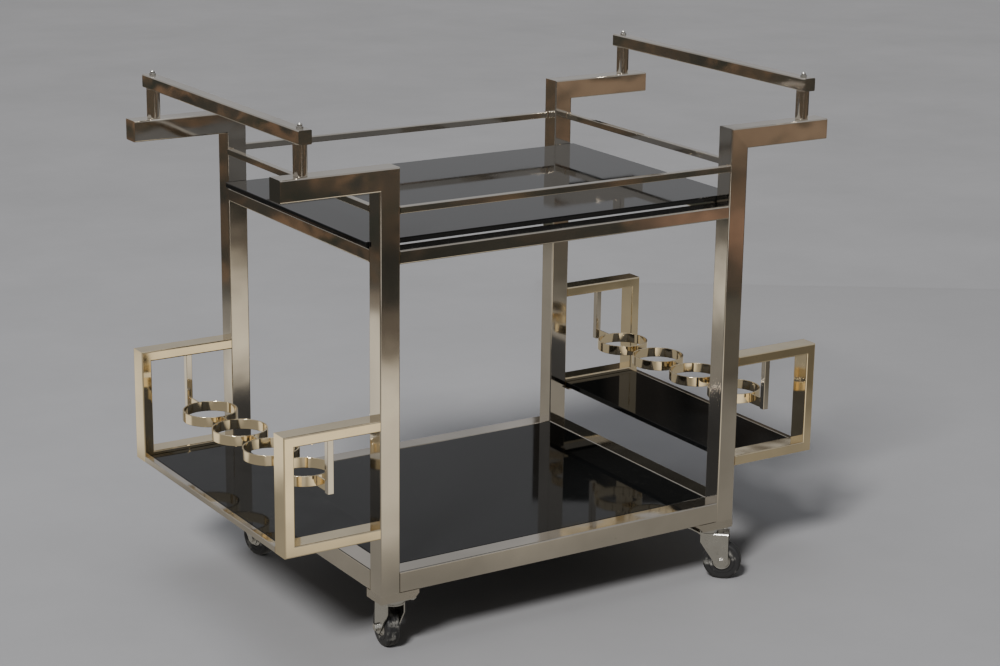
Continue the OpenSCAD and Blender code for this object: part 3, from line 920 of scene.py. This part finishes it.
def painted_room_reflection_glow():
    m = Shader("painted_room_reflection_glow")
    m.tree.nodes.remove(m.shader)
    # painted reflection: a dim room with warm blotches, then the patches of painted light and shade
    # over it
    blotch = m.noise(3.4, detail=2.0, roughness=0.45)
    warm = m.mix(m.ramp(blotch, 0.50, 0.60, 0.0, 1.0), (0.050, 0.052, 0.048), (0.26, 0.165, 0.105))
    dim = m.mix(m.ramp(m.noise(6.0, detail=1.0), 0.55, 0.62, 0.0, 1.0), warm, (0.035, 0.05, 0.04))
    colour = dim
    for centre, radii, softness, tint in PAINTED_REFLECTION_PATCHES:
        colour = m.mix(m.patch(centre, radii, softness), colour, tint)
    glow = m.add("ShaderNodeEmission")
    m.link(colour, glow.inputs["Color"])
    m.link(glow.outputs["Emission"], m.tree.nodes["Material Output"].inputs["Surface"])
    return m.material


def soft_sun(name, towards_light, strength, spread, tint):
    data = bpy.data.lights.new(name, "SUN")
    data.energy = strength
    data.angle = math.radians(spread)
    data.color = tint
    lamp = bpy.data.objects.new(name, data)
    bpy.context.scene.collection.objects.link(lamp)
    lamp.rotation_euler = Vector(towards_light).to_track_quat("Z", "Y").to_euler()
    return lamp


def soft_box(name, at, size, power, tint):
    data = bpy.data.lights.new(name, "AREA")
    data.shape = "RECTANGLE"
    data.size, data.size_y = size
    data.energy = power
    data.color = tint
    lamp = bpy.data.objects.new(name, data)
    bpy.context.scene.collection.objects.link(lamp)
    lamp.location = at
    towards = Vector(BOX_AIM) - Vector(at)
    lamp.rotation_euler = towards.to_track_quat("-Z", "Y").to_euler()
    return lamp


def surroundings():
    """Grey all round; the metal sees it brighter than it lights the floor."""
    world = bpy.data.worlds.new("grey_surroundings")
    bpy.context.scene.world = world
    world.use_nodes = True
    tree = world.node_tree
    back = tree.nodes["Background"]
    back.inputs["Color"].default_value = (1.0, 1.0, 1.02, 1)
    path = tree.nodes.new("ShaderNodeLightPath")
    level = tree.nodes.new("ShaderNodeMapRange")
    level.inputs["To Min"].default_value = studio().backdrop
    level.inputs["To Max"].default_value = studio().room_light
    tree.links.new(path.outputs["Is Diffuse Ray"], level.inputs["Value"])
    tree.links.new(level.outputs["Result"], back.inputs["Strength"])


class CART_PT_panel(bpy.types.Panel):
    """Sizes, colours and steps of the bar cart"""
    bl_idname = "CART_PT_panel"
    bl_label = "Bar cart"
    bl_space_type = "VIEW_3D"
    bl_region_type = "UI"
    bl_category = "Bar cart"

    def draw(self, context):
        for group in (sizes(), colours(), studio()):
            for key in group.__annotations__:
                self.layout.prop(group, key)
        for step in STEPS:
            self.layout.operator(step.bl_idname)


STEPS = (
    CART_OT_camera, CART_OT_tubes, CART_OT_welds, CART_OT_end_caps, CART_OT_glass,
    CART_OT_rings, CART_OT_handles, CART_OT_casters, CART_OT_stage,
)
GROUPS = {"cart_sizes": CartSizes, "cart_colours": CartColours, "cart_studio": CartStudio}


def register():
    for name, group in GROUPS.items():
        bpy.utils.register_class(group)
        setattr(bpy.types.Scene, name, PointerProperty(type=group))
    for cls in (*STEPS, CART_PT_panel):
        bpy.utils.register_class(cls)


def unregister():
    for cls in (CART_PT_panel, *reversed(STEPS)):
        bpy.utils.unregister_class(cls)
    for name, group in reversed(GROUPS.items()):
        delattr(bpy.types.Scene, name)
        bpy.utils.unregister_class(group)


def main():
    register()
    make_finishes()
    for step in STEPS:
        group, action = step.bl_idname.split(".")
        getattr(getattr(bpy.ops, group), action)()
    deselect()


if __name__ == "__main__":
    main()
